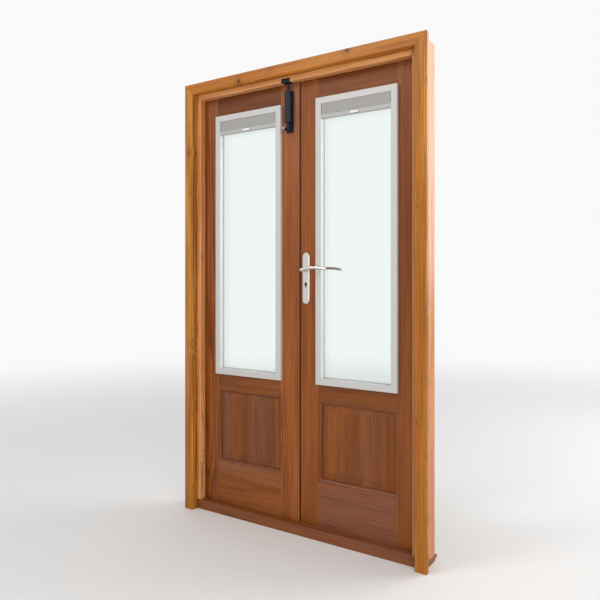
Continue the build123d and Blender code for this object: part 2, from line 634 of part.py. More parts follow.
def build():
    sill = make_sill()
    architraves = make_architraves()
    cylinder = make_lock_cylinder()
    keyhole = make_lock_cylinder(CYLINDER_FIT, -CYLINDER_SET_BACK)
    nodes = {
        "sill": [sill],
        "frame_jamb_left": [make_jamb(-1, sill)],
        "frame_jamb_right": [make_jamb(1, sill)],
        "frame_head": [make_head()],
        "side_stop_left": [make_side_stop(-1, sill)],
        "side_stop_right": [make_side_stop(1, sill)],
        "head_stop": list(make_head_stop()),
        "bolt_keep": [make_keep()],
        "lining_left": [make_side_lining(-1)],
        "lining_right": [make_side_lining(1)],
        "lining_head": [make_head_lining()],
        "architrave_left": [architraves[0]],
        "architrave_right": [architraves[1]],
        "architrave_head": [architraves[2]],
        "frame_hinges_left": make_frame_hinges(-1),
        "frame_hinges_right": make_frame_hinges(1),
    }
    nodes.update(make_leaf("left", -X_LEAF, X_LEFT_EDGE, LEFT_MEETING_STILE_WIDTH))
    nodes.update(make_leaf("right", X_LEAF, X_RIGHT_EDGE, RIGHT_MEETING_STILE_WIDTH))

    strike = faceplate(X_LEFT_EDGE, -1)
    lock_face = faceplate(X_RIGHT_EDGE, 1)
    spindle_way = cross_rod(X_HANDLE, LEVER_HEIGHT, Y_LEAF_IN, Y_OUT, SPINDLE_HOLE_RADIUS)
    nodes["left_meeting_stile"][0] -= strike
    nodes["right_meeting_stile"][0] -= lock_face + keyhole + spindle_way
    nodes["left_strike_plate"] = [strike]
    nodes["right_lock_faceplate"] = [lock_face]
    nodes["right_lock_cylinder"] = [cylinder]
    nodes["right_handle_plate_inside"] = [make_handle_plate(Y_LEAF_IN, -1, keyhole)]
    nodes["right_handle_plate_outside"] = [make_handle_plate(Y_OUT, 1, keyhole)]
    nodes["lever_inside"] = [make_lever(Y_LEAF_IN, -1)]
    nodes["lever_outside"] = [make_lever(Y_OUT, 1)]
    nodes["lever_spindle"] = [make_spindle()]
    nodes["bolt_casing"] = [make_bolt_casing()]
    nodes["bolt_shaft"] = [make_bolt_shaft()]
    return nodes


os.makedirs("parts", exist_ok=True)
for node, pieces in build().items():
    solids = [solid for piece in pieces for solid in piece.solids()]
    whole = solids[0] if len(solids) == 1 else Compound(children=solids)
    whole.label = node
    export_step(whole, f"parts/{node}.step")
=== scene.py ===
import math

import bmesh
import bpy
from bpy.props import FloatProperty, FloatVectorProperty, PointerProperty
from mathutils import Matrix, Vector


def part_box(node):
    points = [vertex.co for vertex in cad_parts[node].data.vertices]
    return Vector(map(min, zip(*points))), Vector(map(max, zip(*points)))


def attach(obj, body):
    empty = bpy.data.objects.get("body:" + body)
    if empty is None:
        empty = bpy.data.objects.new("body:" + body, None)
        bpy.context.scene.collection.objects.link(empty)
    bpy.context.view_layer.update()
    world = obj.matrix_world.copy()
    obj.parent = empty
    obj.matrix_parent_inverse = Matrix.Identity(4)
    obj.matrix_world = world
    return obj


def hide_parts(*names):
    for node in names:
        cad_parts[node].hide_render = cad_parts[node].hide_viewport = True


bl_info = {
    "name": "Glazed Double Doors",
    "version": (1, 0, 0),
    "blender": (4, 5, 0),
    "location": "3D View > Sidebar > Doors",
    "description": "Finishes and small fittings for a pair of glazed timber doors",
    "category": "Object",
}

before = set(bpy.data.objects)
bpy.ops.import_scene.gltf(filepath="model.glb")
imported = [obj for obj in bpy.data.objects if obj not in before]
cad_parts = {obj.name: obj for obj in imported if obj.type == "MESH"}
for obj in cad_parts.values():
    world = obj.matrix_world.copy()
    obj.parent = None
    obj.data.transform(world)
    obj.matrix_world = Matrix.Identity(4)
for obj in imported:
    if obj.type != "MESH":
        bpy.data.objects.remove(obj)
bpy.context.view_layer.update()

SIDES = ("left", "right")
FACES = (("inside", 1), ("outside", -1))    # each side of the leaf, and which way its plate lies

# Boards of the frame and its trim: node, kind of timber, grain direction, where in the log the
# board was cut, and its tone
BOARDS = [
    ("architrave_left", "pine", "Z", (0.31, 0.12, 0.40), 1.0),
    ("architrave_right", "pine", "Z", (1.27, 0.45, 2.10), 0.97),
    ("architrave_head", "pine", "X", (2.11, 0.83, 0.70), 1.04),
    ("lining_left", "pine", "Z", (3.05, 0.22, 1.30), 0.92),
    ("lining_right", "pine", "Z", (4.40, 0.61, 0.20), 0.95),
    ("lining_head", "pine", "X", (5.23, 0.34, 1.90), 0.9),
    ("frame_jamb_left", "frame", "Z", (0.74, 1.12, 0.30), 1.0),
    ("frame_jamb_right", "frame", "Z", (1.92, 1.57, 1.10), 0.96),
    ("frame_head", "frame", "X", (2.63, 1.31, 0.55), 1.03),
    ("side_stop_left", "frame", "Z", (3.71, 1.84, 0.95), 0.98),
    ("side_stop_right", "frame", "Z", (4.82, 1.29, 1.75), 1.02),
    ("head_stop", "frame", "X", (5.56, 1.43, 0.15), 0.94),
    ("sill", "leaf", "X", (6.12, 2.31, 0.85), 0.85),
]

# Boards of each leaf: piece, grain direction (a ring has upright and level members), where in the
# log the board was cut, and its tone in the left and in the right leaf
LEAF_BOARDS = [
    ("hinge_stile", "Z", (0.23, 2.71, 0.35), (0.96, 1.00)),
    ("meeting_stile", "Z", (1.46, 2.05, 1.45), (1.16, 1.02)),
    # The top rails' darker tone is painted shade, for the shadow that the head casts on them
    ("top_rail", "X", (2.38, 3.53, 0.15), (0.62, 0.72)),
    ("mid_rail", "X", (3.67, 2.17, 1.85), (0.82, 0.80)),
    ("bottom_rail", "X", (4.91, 2.44, 0.25), (1.00, 0.94)),
    ("panel", "Z", (5.34, 2.88, 1.15), (0.82, 0.88)),
    ("panel_beads", "ring", (6.57, 2.62, 0.75), (0.84, 0.82)),
    ("glazing_beads", "ring", (7.15, 2.09, 1.35), (0.90, 0.90)),
]
LOG_OFFSET = 9.0    # how far off in the log the right leaf's boards were cut

# Sizes of the fittings, in metres
FITTING_ARRIS = 0.0006      # softening of the corners of metal, rubber and cloth
BLIND_FRAME_WIDTH = 0.028   # face of each member of the blind frames
PLATE_SCREW_INSET = 0.012   # from the end of a plate to the middle of its screw
FLUSH_SCREW_SCALE = 1.2     # width of a countersunk head, over that of a domed one
FLUSH_SCREW_RISE = 0.0002   # how far a countersunk head stands proud
HALF_HINGE = 0.05           # half the height of one hinge
ROUND_STEPS = 24            # facets round a turned piece
# Screws of one hinge: how far in from its inner edge and how far up from its middle
HINGE_SCREWS = ((0.010, -0.034), (0.022, 0.0), (0.010, 0.034))

# Where two faces of a new piece meet in a crease
CREASE_ANGLE = math.radians(35)

# Sockets of the Mix node, whose number, vector and colour sockets share their names
MIX_FACTOR = 0
MIX_VECTOR_A, MIX_VECTOR_B, MIX_VECTOR_RESULT = 4, 5, 1
MIX_COLOUR_A, MIX_COLOUR_B, MIX_COLOUR_RESULT = 6, 7, 2

# The camera: its place, its turn to the left of straight ahead, its film width and its shift
EYE = (1.466, -2.2595, 1.12)
HEADING = math.radians(33.0)
SENSOR_WIDTH = 36.0
FILM_SHIFT = -0.037

# Lamps: name, place, the point it looks at, side of its square in metres, and power in watts
LAMPS = (
    ("key", (-1.6, -3.0, 4.2), (0, 0, 1.1), 1.5, 58.0),
    ("fill", (3.0, -2.6, 1.5), (0, 0, 0.9), 2.0, 52.0),
    ("back", (2.7, 2.7, 2.3), (0, 0, 1.2), 2.6, 82.0),
)


class DoorColours(bpy.types.PropertyGroup):
    pine_pale: FloatVectorProperty(
        name="Pine, pale", description="Spring growth of the varnished pine",
        subtype="COLOR", min=0, max=1, default=(0.68, 0.29, 0.042))
    pine_middle: FloatVectorProperty(
        name="Pine, middle", description="Main tone of the varnished pine",
        subtype="COLOR", min=0, max=1, default=(0.35, 0.118, 0.012))
    pine_deep: FloatVectorProperty(
        name="Pine, deep", description="Late growth and knots of the pine",
        subtype="COLOR", min=0, max=1, default=(0.150, 0.040, 0.005))
    pine_patch: FloatVectorProperty(
        name="Pine, patches", description="Deeper orange patches along the pine",
        subtype="COLOR", min=0, max=1, default=(0.47, 0.150, 0.012))
    # The frame's four colours are paler than the pine's: its timber's own colour with painted light
    # on the recessed frame
    frame_pale: FloatVectorProperty(
        name="Frame, pale", description="Palest tone of the frame's timber",
        subtype="COLOR", min=0, max=1, default=(0.92, 0.44, 0.165))
    frame_middle: FloatVectorProperty(
        name="Frame, middle", description="Main tone of the frame's timber",
        subtype="COLOR", min=0, max=1, default=(0.66, 0.265, 0.088))
    frame_deep: FloatVectorProperty(
        name="Frame, deep", description="Darkest tone of the frame's timber",
        subtype="COLOR", min=0, max=1, default=(0.280, 0.088, 0.024))
    frame_patch: FloatVectorProperty(
        name="Frame, patches", description="Browner patches along the frame",
        subtype="COLOR", min=0, max=1, default=(0.52, 0.190, 0.055))
    leaf_pale: FloatVectorProperty(
        name="Leaf, pale", description="Palest tone of the stained leaves",
        subtype="COLOR", min=0, max=1, default=(0.355, 0.106, 0.017))
    leaf_middle: FloatVectorProperty(
        name="Leaf, middle", description="Main tone of the stained leaves",
        subtype="COLOR", min=0, max=1, default=(0.235, 0.061, 0.009))
    leaf_deep: FloatVectorProperty(
        name="Leaf, deep", description="Darkest tone of the stained leaves",
        subtype="COLOR", min=0, max=1, default=(0.092, 0.022, 0.004))
    # The leaves' patch colour is a mauve sheen in random patches, a painted reflection of the pale
    # sky
    leaf_reflection_patch: FloatVectorProperty(
        name="Leaf, patches", description="Duller patches along the stained leaves",
        subtype="COLOR", min=0, max=1, default=(0.275, 0.108, 0.062))
    # The blind frames' white is greyed, partly painted shade of the backlit frames
    white_coat: FloatVectorProperty(
        name="Blind frame coat", description="Warm white coat of the blind frames",
        subtype="COLOR", min=0, max=1, default=(0.535, 0.525, 0.505))
    blind_cloth: FloatVectorProperty(
        name="Blind cloth", description="Pleated cloth of the blinds",
        subtype="COLOR", min=0, max=1, default=(0.40, 0.39, 0.365))
    blind_bar: FloatVectorProperty(
        name="Blind bar", description="Bottom bar of the blinds",
        subtype="COLOR", min=0, max=1, default=(0.42, 0.41, 0.39))
    plate_metal: FloatVectorProperty(
        name="Handle metal", description="Satin metal of the plates and levers",
        subtype="COLOR", min=0, max=1, default=(0.62, 0.585, 0.555))
    hinge_metal: FloatVectorProperty(
        name="Hinge metal", description="Brushed metal of the hinges and lock plates",
        subtype="COLOR", min=0, max=1, default=(0.56, 0.54, 0.51))
    bolt_black: FloatVectorProperty(
        name="Bolt black", description="Black coat of the surface bolt and its keep",
        subtype="COLOR", min=0, max=1, default=(0.008, 0.009, 0.019))
    glass_tint: FloatVectorProperty(
        name="Glass tint", description="Faint tint of the clear glass",
        subtype="COLOR", min=0, max=1, default=(0.95, 0.985, 0.98))
    seal_brown: FloatVectorProperty(
        name="Seal brown", description="Dark brown rubber of the meeting seals",
        subtype="COLOR", min=0, max=1, default=(0.085, 0.030, 0.016))


class DoorSizes(bpy.types.PropertyGroup):
    screw_radius: FloatProperty(
        name="Screw head radius", description="Radius of the screw heads on plates",
        subtype="DISTANCE", unit="LENGTH", min=0.001, max=0.01, default=0.0032)
    screw_height: FloatProperty(
        name="Screw head height", description="How far a screw head stands off its plate",
        subtype="DISTANCE", unit="LENGTH", min=0.0002, max=0.004, default=0.0011)
    seal_reach: FloatProperty(
        name="Seal reach", description="How far each meeting seal stands off its leaf's edge",
        subtype="DISTANCE", unit="LENGTH", min=0.001, max=0.0043, default=0.0043)
    gasket_width: FloatProperty(
        name="Gasket width", description="Width of the pale line round the glass",
        subtype="DISTANCE", unit="LENGTH", min=0.001, max=0.006, default=0.0030)
    arris: FloatProperty(
        name="Arris", description="Softening of the timber's sawn corners",
        subtype="DISTANCE", unit="LENGTH", min=0.0, max=0.004, default=0.0012)
    lens: FloatProperty(
        name="Lens", description="Focal length of the camera",
        unit="CAMERA", min=20, max=80, default=36.5)


# Node trees

def add_node(tree, kind, inputs=None, **settings):
    """Adds a node. Each of its inputs is a plain value or another node's output."""
    node = tree.nodes.new(kind)
    for key, value in settings.items():
        setattr(node, key, value)
    for key, value in (inputs or {}).items():
        if isinstance(value, bpy.types.NodeSocket):
            tree.links.new(value, node.inputs[key])
        else:
            node.inputs[key].default_value = value
    return node


def math_node(tree, operation, a, b=0.0, clamp=False):
    node = add_node(tree, "ShaderNodeMath", {0: a, 1: b}, operation=operation, use_clamp=clamp)
    return node.outputs[0]


def scaled(tree, value, by):
    return math_node(tree, "MULTIPLY", value, by)


def stretched(tree, vector, by):
    """A place times a vector, whose small numbers draw a texture out that way."""
    return add_node(tree, "ShaderNodeVectorMath", {0: vector, 1: by},
                    operation="MULTIPLY").outputs[0]


def noise(tree, vector, scale, detail, roughness=0.5):
    return add_node(
        tree, "ShaderNodeTexNoise",
        {"Vector": vector, "Scale": scale, "Detail": detail, "Roughness": roughness}).outputs["Fac"]


def blend_colour(tree, factor, a, b, mode="MIX"):
    node = add_node(tree, "ShaderNodeMix", {MIX_FACTOR: factor, MIX_COLOUR_A: a, MIX_COLOUR_B: b},
                    data_type="RGBA", blend_type=mode)
    return node.outputs[MIX_COLOUR_RESULT]


def tinge(tree, shown, mask, share, colour):
    """Lays a colour over the shown one where a mask is, by no more than a share."""
    return blend_colour(tree, scaled(tree, mask, share), shown, colour)


def remap(tree, value, low, high, to_low=0.0, to_high=1.0):
    node = add_node(
        tree, "ShaderNodeMapRange",
        {"Value": value, "From Min": low, "From Max": high, "To Min": to_low, "To Max": to_high},
        interpolation_type="SMOOTHSTEP")
    return node.outputs["Result"]


def start_group(name, inputs, outputs):
    """An empty shader group. inputs are (name, kind, default), outputs (name, kind)."""
    group = bpy.data.node_groups.new(name, "ShaderNodeTree")
    for label, kind, default in inputs:
        made = group.interface.new_socket(label, in_out="INPUT", socket_type="NodeSocket" + kind)
        if default is not None:
            made.default_value = default
    for label, kind in outputs:
        group.interface.new_socket(label, in_out="OUTPUT", socket_type="NodeSocket" + kind)
    given = group.nodes.new("NodeGroupInput").outputs
    out = group.nodes.new("NodeGroupOutput").inputs
    return group, given, out


def wood_grain_group():
    """Growth lines, streaks and knots of a board whose grain runs along Z."""
    name = "Wood Grain"
    if name in bpy.data.node_groups:
        return bpy.data.node_groups[name]
    tree, given, out = start_group(
        name,
        [("Vector", "Vector", None), ("Pale", "Color", (0.6, 0.3, 0.1, 1)),
         ("Middle", "Color", (0.4, 0.2, 0.05, 1)), ("Deep", "Color", (0.2, 0.07, 0.02, 1)),
         ("Patch", "Color", (0.3, 0.1, 0.05, 1)), ("Lines", "Float", 60.0),
         ("Knots", "Float", 0.0), ("Gloss", "Float", 0.35)],
        [("Color", "Color"), ("Roughness", "Float"), ("Height", "Float")])
    long = stretched(tree, given["Vector"], (1.0, 1.0, 0.07))
    fine = stretched(tree, given["Vector"], (1.0, 1.0, 0.018))
    drift = noise(tree, long, 7.0, 2.0)
    clouds = noise(tree, long, 5.5, 1.0, 0.4)
    broad = noise(tree, long, 19.0, 3.0)
    streak = noise(tree, fine, 210.0, 6.0, 0.62)

    # Knots stand in cells, of which this share has none
    bare_share = 0.52
    cells = add_node(tree, "ShaderNodeTexVoronoi", {"Vector": given["Vector"], "Scale": 12.0},
                     feature="F1").outputs
    chosen = add_node(tree, "ShaderNodeSeparateColor", {0: cells["Color"]}).outputs[0]
    kept = scaled(tree, math_node(tree, "GREATER_THAN", chosen, bare_share), given["Knots"])
    near_knot = scaled(tree, remap(tree, cells["Distance"], 0.46, 0.08), kept)
    in_knot = scaled(tree, remap(tree, cells["Distance"], 0.150, 0.060), kept)

    # Growth lines, pushed aside by a slow drift and by the knots
    push = math_node(tree, "ADD", scaled(tree, drift, 0.055), scaled(tree, near_knot, 0.014))
    bent = add_node(tree, "ShaderNodeVectorMath", {0: long, 1: push}, operation="ADD").outputs[0]
    rings = add_node(tree, "ShaderNodeTexWave",
                     {"Vector": bent, "Scale": given["Lines"], "Distortion": 1.6, "Detail": 3.0,
                      "Detail Scale": 1.2, "Detail Roughness": 0.55},
                     wave_type="RINGS", rings_direction="Z", wave_profile="SAW").outputs["Fac"]

    # Colour, from the broad bands down to the heart of a knot
    deep = given["Deep"]
    plain = blend_colour(tree, remap(tree, broad, 0.32, 0.68), given["Middle"], given["Pale"])
    # Patches of the Patch colour; on the leaves this colour is a painted reflection
    ground = tinge(tree, plain, remap(tree, clouds, 0.38, 0.62), 0.75, given["Patch"])
    lined = tinge(tree, ground, remap(tree, rings, 0.42, 1.0), 0.74, deep)
    streaked = tinge(tree, lined, remap(tree, streak, 0.47, 0.70), 0.62, deep)
    ringed = tinge(tree, streaked, near_knot, 0.35, deep)
    heart = blend_colour(tree, 1.0, deep, (0.55, 0.50, 0.48, 1), "MULTIPLY")
    tree.links.new(blend_colour(tree, in_knot, ringed, heart), out["Color"])

    dull = scaled(tree, math_node(tree, "SUBTRACT", streak, 0.5), 0.32)
    tree.links.new(math_node(tree, "ADD", given["Gloss"], dull, clamp=True), out["Roughness"])
    relief = math_node(tree, "ADD", scaled(tree, rings, 0.4), scaled(tree, streak, 0.6))
    tree.links.new(relief, out["Height"])
    return tree


def soft_edges_group():
    """Rounded normal at sharp corners, and a mask of where those corners are."""
    name = "Soft Edges"
    if name in bpy.data.node_groups:
        return bpy.data.node_groups[name]
    tree, given, out = start_group(
        name, [("Radius", "Float", 0.001)], [("Normal", "Vector"), ("Edge", "Float")])
    bevel = add_node(tree, "ShaderNodeBevel", {"Radius": given["Radius"]}, samples=4)
    flat = add_node(tree, "ShaderNodeNewGeometry").outputs["Normal"]
    turned = add_node(tree, "ShaderNodeVectorMath", {0: bevel.outputs[0], 1: flat},
                      operation="DOT_PRODUCT").outputs["Value"]
    tree.links.new(bevel.outputs[0], out["Normal"])
    tree.links.new(remap(tree, turned, 0.998, 0.88), out["Edge"])
    return tree


def mitre_group():
    """A hairline along the mitres of a rectangle, seen along Y, and where its level sides are."""
    name = "Mitre Lines"
    if name in bpy.data.node_groups:
        return bpy.data.node_groups[name]
    tree, given, out = start_group(
        name,
        [("Vector", "Vector", None), ("Centre X", "Float", 0.0), ("Centre Z", "Float", 0.0),
         ("Half Width", "Float", 0.5), ("Half Height", "Float", 0.5), ("Line", "Float", 0.0004)],
        [("Mask", "Float"), ("Level", "Float")])
    parts = add_node(tree, "ShaderNodeSeparateXYZ", {0: given["Vector"]}).outputs
    across = math_node(tree, "ABSOLUTE", math_node(tree, "SUBTRACT", parts["X"], given["Centre X"]))
    along = math_node(tree, "ABSOLUTE", math_node(tree, "SUBTRACT", parts["Z"], given["Centre Z"]))
    x_left = math_node(tree, "SUBTRACT", across, given["Half Width"])
    z_left = math_node(tree, "SUBTRACT", along, given["Half Height"])
    off = math_node(tree, "ABSOLUTE", math_node(tree, "SUBTRACT", x_left, z_left))
    line = math_node(tree, "DIVIDE", off, given["Line"])
    tree.links.new(remap(tree, line, 1.6, 0.6), out["Mask"])
    tree.links.new(math_node(tree, "GREATER_THAN", z_left, x_left), out["Level"])
    return tree


def coat_group():
    """Faint unevenness of a painted, coated or drawn surface."""
    name = "Coat Texture"
    if name in bpy.data.node_groups:
        return bpy.data.node_groups[name]
    tree, given, out = start_group(
        name,
        [("Vector", "Vector", None), ("Color", "Color", (0.8, 0.8, 0.8, 1)),
         ("Stretch", "Vector", (1.0, 1.0, 1.0)), ("Scale", "Float", 900.0),
         ("Variation", "Float", 0.06), ("Gloss", "Float", 0.4)],
        [("Color", "Color"), ("Roughness", "Float"), ("Height", "Float")])
    peel = noise(tree, stretched(tree, given["Vector"], given["Stretch"]), given["Scale"], 3.0)
    cloud = noise(tree, given["Vector"], 9.0, 3.0)
    mixed = math_node(tree, "ADD", scaled(tree, peel, 0.5), scaled(tree, cloud, 0.5))
    shade = math_node(tree, "SUBTRACT", mixed, 0.5)
    gain = math_node(tree, "ADD", scaled(tree, shade, given["Variation"]), 1.0)
    tinted = add_node(tree, "ShaderNodeVectorMath", {0: given["Color"], "Scale": gain},
                      operation="SCALE").outputs[0]
    dull = scaled(tree, shade, 0.35)
    tree.links.new(tinted, out["Color"])
    tree.links.new(math_node(tree, "ADD", given["Gloss"], dull, clamp=True), out["Roughness"])
    tree.links.new(peel, out["Height"])
    return tree


# Materials

def new_material(name):
    """A material with its Principled shader and object coordinates."""
    material = bpy.data.materials.new(name)
    material.use_nodes = True
    tree = material.node_tree
    shader = tree.nodes["Principled BSDF"]
    place = add_node(tree, "ShaderNodeTexCoord").outputs["Object"]
    return material, tree, shader, place


def rgba(colour):
    return (*colour[:3], 1.0)


def toned(colour, by):
    """A colour made darker or lighter, at most to full brightness."""
    return rgba([min(1.0, part * by) for part in colour[:3]])


def use_group(tree, group, inputs):
    return add_node(tree, "ShaderNodeGroup", inputs, node_tree=group).outputs


def finish_surface(tree, shader, colour, roughness, normal, height, strength, distance):
    """Gives a shader its colour, roughness and normal, and a bump of a strength and a distance."""
    relief = add_node(tree, "ShaderNodeBump", {
        "Strength": strength, "Distance": distance, "Height": height, "Normal": normal})
    tree.links.new(colour, shader.inputs["Base Color"])
    tree.links.new(roughness, shader.inputs["Roughness"])
    tree.links.new(relief.outputs[0], shader.inputs["Normal"])


def board_place(tree, place, along, cut):
    """Coordinates in a board whose grain is turned to Z."""
    turn = (0.0, math.pi / 2, 0.0) if along == "X" else (0.0, 0.0, 0.0)
    return add_node(tree, "ShaderNodeMapping",
                    {"Vector": place, "Location": cut, "Rotation": turn}).outputs[0]


def wood_material(name, kind, along, cut, tone, arris, mitre=None):
    """One board, or a ring of four. kind holds its four colours, growth lines, knots and gloss."""
    material, tree, shader, place = new_material(name)
    pale, middle, deep, patch = ([part * tone for part in colour] for colour in kind[:4])
    lines, knots, gloss = kind[4:]
    joint = use_group(tree, mitre_group(), {"Vector": place, **mitre}) if mitre else None
    if along == "ring":
        board = add_node(
            tree, "ShaderNodeMix",
            {MIX_FACTOR: joint["Level"], MIX_VECTOR_A: board_place(tree, place, "Z", cut),
             MIX_VECTOR_B: board_place(tree, place, "X", cut)},
            data_type="VECTOR").outputs[MIX_VECTOR_RESULT]
    else:
        board = board_place(tree, place, along, cut)
    grain = use_group(tree, wood_grain_group(), {
        "Vector": board, "Pale": rgba(pale), "Middle": rgba(middle),
        "Deep": rgba(deep), "Patch": rgba(patch), "Lines": lines, "Knots": knots, "Gloss": gloss})
    edges = use_group(tree, soft_edges_group(), {"Radius": arris})
    # The arrises are laid with a paler colour, a painted highlight along the corners
    shown = tinge(tree, grain["Color"], edges["Edge"], 0.45, toned(pale, 1.25))
    if joint:
        shown = tinge(tree, shown, joint["Mask"], 0.75, toned(deep, 0.3))
    finish_surface(tree, shader, shown, grain["Roughness"], edges["Normal"], grain["Height"],
                   strength=0.22, distance=0.0006)
    shader.inputs["Specular IOR Level"].default_value = 0.22
    shader.inputs["Coat Weight"].default_value = 0.05
    shader.inputs["Coat Roughness"].default_value = 0.25
    return material


def coat_material(name, colour, gloss, metallic=0.0, stretch=(1, 1, 1), scale=900.0,
                  variation=0.06, relief=0.06, edge_colour=None, mitre=None, tip=None, shine=0.5):
    """Paint, powder coat, drawn metal or rubber, with an optional colour laid along its
    corners. tip is a level of Y with the paler colour in front of it."""
    material, tree, shader, place = new_material(name)
    coat = use_group(tree, coat_group(), {
        "Vector": place, "Color": rgba(colour), "Stretch": stretch, "Scale": scale,
        "Variation": variation, "Gloss": gloss})
    edges = use_group(tree, soft_edges_group(), {"Radius": FITTING_ARRIS})
    shown = coat["Color"]
    # A colour laid along the corners, where one is given
    if edge_colour:
        shown = tinge(tree, shown, edges["Edge"], 0.5, rgba(edge_colour))
    if tip:
        level, paler = tip
        fade = 0.0004
        depth = add_node(tree, "ShaderNodeSeparateXYZ", {0: place}).outputs["Y"]
        shown = blend_colour(tree, remap(tree, depth, level + fade, level), shown, rgba(paler))
    if mitre:
        line = use_group(tree, mitre_group(), {"Vector": place, **mitre})["Mask"]
        shown = tinge(tree, shown, line, 0.6, toned(colour, 0.35))
    finish_surface(tree, shader, shown, coat["Roughness"], edges["Normal"], coat["Height"],
                   strength=relief, distance=0.0002)
    shader.inputs["Metallic"].default_value = metallic
    shader.inputs["Specular IOR Level"].default_value = shine
    return material


def cloth_material(name, colour):
    """Woven cloth with a fine square weave."""
    material, tree, shader, place = new_material(name)
    weave_scale = 420.0
    coat = use_group(tree, coat_group(), {
        "Vector": place, "Color": rgba(colour), "Scale": weave_scale, "Variation": 0.22,
        "Gloss": 0.88})
    weave = [
        add_node(tree, "ShaderNodeTexWave",
                 {"Vector": place, "Scale": weave_scale, "Distortion": 0.4},
                 wave_type="BANDS", bands_direction=way).outputs["Fac"] for way in ("X", "Z")]
    threads = scaled(tree, weave[0], weave[1])
    edges = use_group(tree, soft_edges_group(), {"Radius": FITTING_ARRIS})
    shown = tinge(tree, coat["Color"], threads, 0.18, toned(colour, 1.25))
    finish_surface(tree, shader, shown, coat["Roughness"], edges["Normal"], threads,
                   strength=0.25, distance=0.0002)
    shader.inputs["Sheen Weight"].default_value = 0.25
    return material


def glass_material(name, tint):
    """Clear glass with faint smears, which the lamps shine through."""
    material, tree, shader, place = new_material(name)
    smear = remap(tree, noise(tree, place, 5.0, 4.0), 0.35, 0.8, 0.0, 0.035)
    tree.links.new(smear, shader.inputs["Roughness"])
    shader.inputs["Base Color"].default_value = rgba(tint)
    shader.inputs["Transmission Weight"].default_value = 1.0
    shader.inputs["IOR"].default_value = 1.5
    clear = add_node(tree, "ShaderNodeBsdfTransparent", {"Color": rgba(tint)})
    shadow = add_node(tree, "ShaderNodeLightPath").outputs["Is Shadow Ray"]
    mixed = add_node(tree, "ShaderNodeMixShader",
                     {0: shadow, 1: shader.outputs[0], 2: clear.outputs[0]})
    tree.links.new(mixed.outputs[0], tree.nodes["Material Output"].inputs["Surface"])
    return material


# Meshes

def dress(node, material):
    """Gives a carried-over node its finish."""
    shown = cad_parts[node]
    if not shown.material_slots:
        shown.data.materials.append(material)
    for slot in shown.material_slots:
        slot.material = material


def add_piece(name, material, body, slot, fill, *details):
    """Makes a new piece with a function that fills its mesh, and lets it ride on a body."""
    shape = bmesh.new()
    fill(shape, *details)
    bmesh.ops.recalc_face_normals(shape, faces=shape.faces)
    mesh = bpy.data.meshes.new(name)
    shape.to_mesh(mesh)
    shape.free()
    for face in mesh.polygons:
        face.use_smooth = True
    mesh.set_sharp_from_angle(angle=CREASE_ANGLE)
    piece = bpy.data.objects.new(name, mesh)
    bpy.context.scene.collection.objects.link(piece)
    piece.data.materials.append(material)
    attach(piece, body)
    return piece


def join_rows(shape, low, high):
    """Faces between two closed rows of corners. A row of one corner, repeated, gives triangles."""
    for i in range(len(low)):
        after = (i + 1) % len(low)
        corners = []
        for vert in (low[i], low[after], high[after], high[i]):
            if vert not in corners:
                corners.append(vert)
        if len(corners) > 2:
            shape.faces.new(corners)


def circle(radius, height):
    """Points round Z at one height."""
    turns = [2 * math.pi * i / ROUND_STEPS for i in range(ROUND_STEPS)]
    return [Vector((radius * math.cos(turn), radius * math.sin(turn), height)) for turn in turns]


def lathe(shape, place, outline):
    """Turns (radius, height) pairs round the place's Z."""
    rows = []
    for radius, height in outline:
        if radius == 0:
            rows.append([shape.verts.new(place @ Vector((0, 0, height)))] * ROUND_STEPS)
        else:
            rows.append([shape.verts.new(place @ point) for point in circle(radius, height)])
    for low, high in zip(rows, rows[1:]):
        join_rows(shape, low, high)


def facing(point, direction):
    """A placement whose Z looks along a direction."""
    turn = Vector(direction).normalized().to_track_quat("Z", "Y").to_matrix().to_4x4()
    return Matrix.Translation(point) @ turn


def screw_head(shape, point, direction, radius, height, turn):
    """A domed head with a cross recess, sunk a little way into its plate."""
    place = facing(point, direction) @ Matrix.Rotation(turn, 4, "Z")
    flat = radius * 0.52
    lathe(shape, place, [
        (0, -height * 0.5), (radius, -height * 0.5), (radius, height * 0.25),
        (radius * 0.86, height * 0.7), (radius * 0.60, height), (flat, height)])
    # The recess narrows to its floor, and the flat top is filled between it and the dome
    arm, reach, floor, narrowed = radius * 0.13, radius * 0.44, -height * 0.1, 0.9
    cross = [
        (reach, arm), (arm, arm), (arm, reach), (-arm, reach), (-arm, arm), (-reach, arm),
        (-reach, -arm), (-arm, -arm), (-arm, -reach), (arm, -reach), (arm, -arm), (reach, -arm)]
    top = [shape.verts.new(place @ Vector((x, y, height))) for x, y in cross]
    low = [shape.verts.new(place @ Vector((x * narrowed, y * narrowed, floor))) for x, y in cross]
    join_rows(shape, top, low)
    shape.faces.new(low)
    rim = [shape.verts.new(place @ point) for point in circle(flat, height)]
    outer = [shape.edges.new(pair) for pair in zip(rim, rim[1:] + rim[:1])]
    inner = [shape.edges.get(pair) for pair in zip(top, top[1:] + top[:1])]
    bmesh.ops.triangle_fill(shape, edges=outer + inner, use_beauty=True)
    bmesh.ops.remove_doubles(shape, verts=shape.verts, dist=1e-6)


def screw_row(shape, points, direction, radius, height, first_turn, next_turn):
    """A screw head at each point, turned further than the one before."""
    for number, point in enumerate(points):
        screw_head(shape, point, direction, radius, height, first_turn + next_turn * number)


def add_screws(name, points, direction, material, body, slot, sizes, scale=1.0):
    """Domed heads that stand a little way off their plate."""
    add_piece(name, material, body, slot, screw_row, points, direction,
              sizes.screw_radius * scale, sizes.screw_height * scale, 0.4, 1.1)


def add_flush_screws(name, points, direction, material, body, sizes):
    """Countersunk heads that lie a hair proud of their hinge."""
    add_piece(name, material, body, "hinge_steel", screw_row, points, direction,
              sizes.screw_radius * FLUSH_SCREW_SCALE, FLUSH_SCREW_RISE, 0.0, 0.7)


